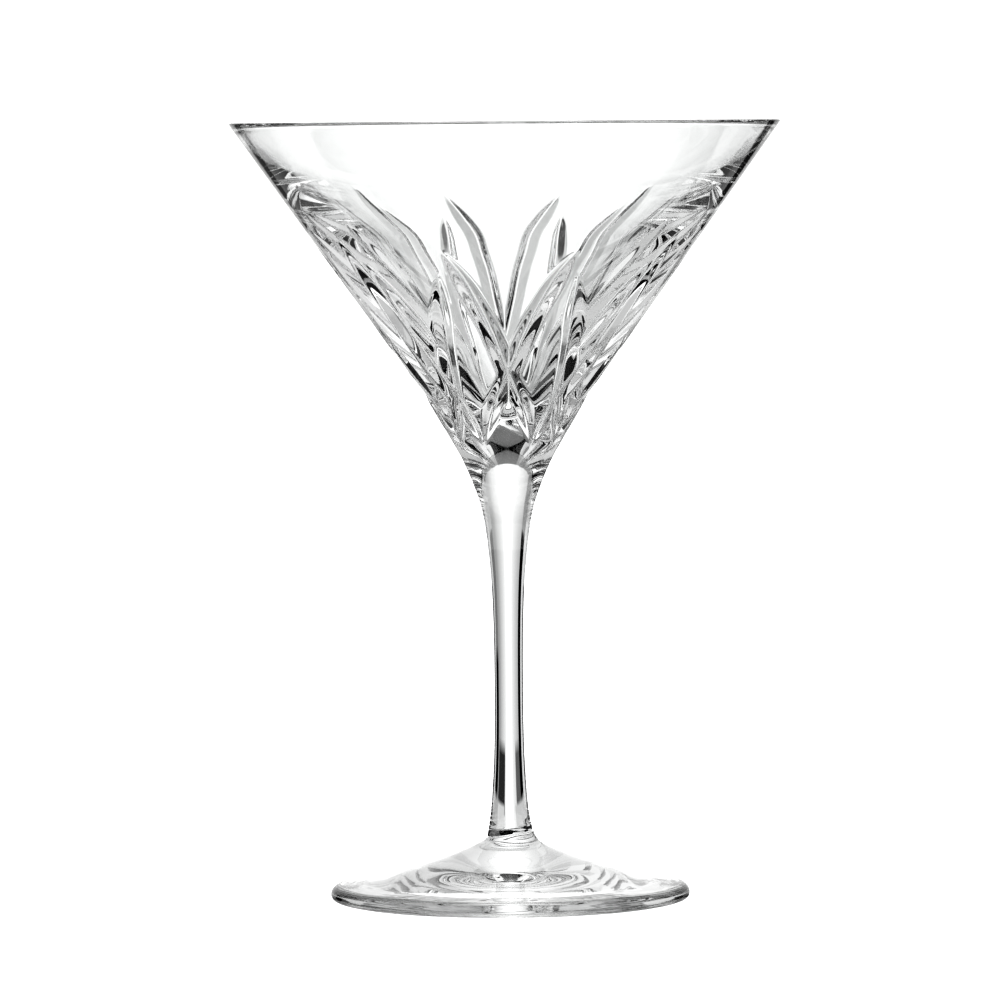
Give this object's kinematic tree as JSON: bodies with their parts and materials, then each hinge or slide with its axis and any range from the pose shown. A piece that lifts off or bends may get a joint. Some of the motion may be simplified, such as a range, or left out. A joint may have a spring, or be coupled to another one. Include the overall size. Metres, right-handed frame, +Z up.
{
  "type": "martini glass",
  "caption": "Clear crystal martini glass: thick conical bowl with crossing wheel-cut blades, slender waisted stem and round foot.",
  "frame": {"origin": "centre of the resting plane under the foot", "axes": "+Z up along the axis of the glass, through the open mouth; -Y towards the front, where one pair of the longest cuts crosses"},
  "size_m": [0.1194, 0.1194, 0.1689],
  "materials": {
    "bowl": "polished clear crystal, cuts polished",
    "stem": "polished clear crystal",
    "foot": "polished clear crystal"
  },
  "bodies": {
    "root": {"bowl": "bowl", "stem": "stem", "foot": "foot"}
  },
  "joints": []
}
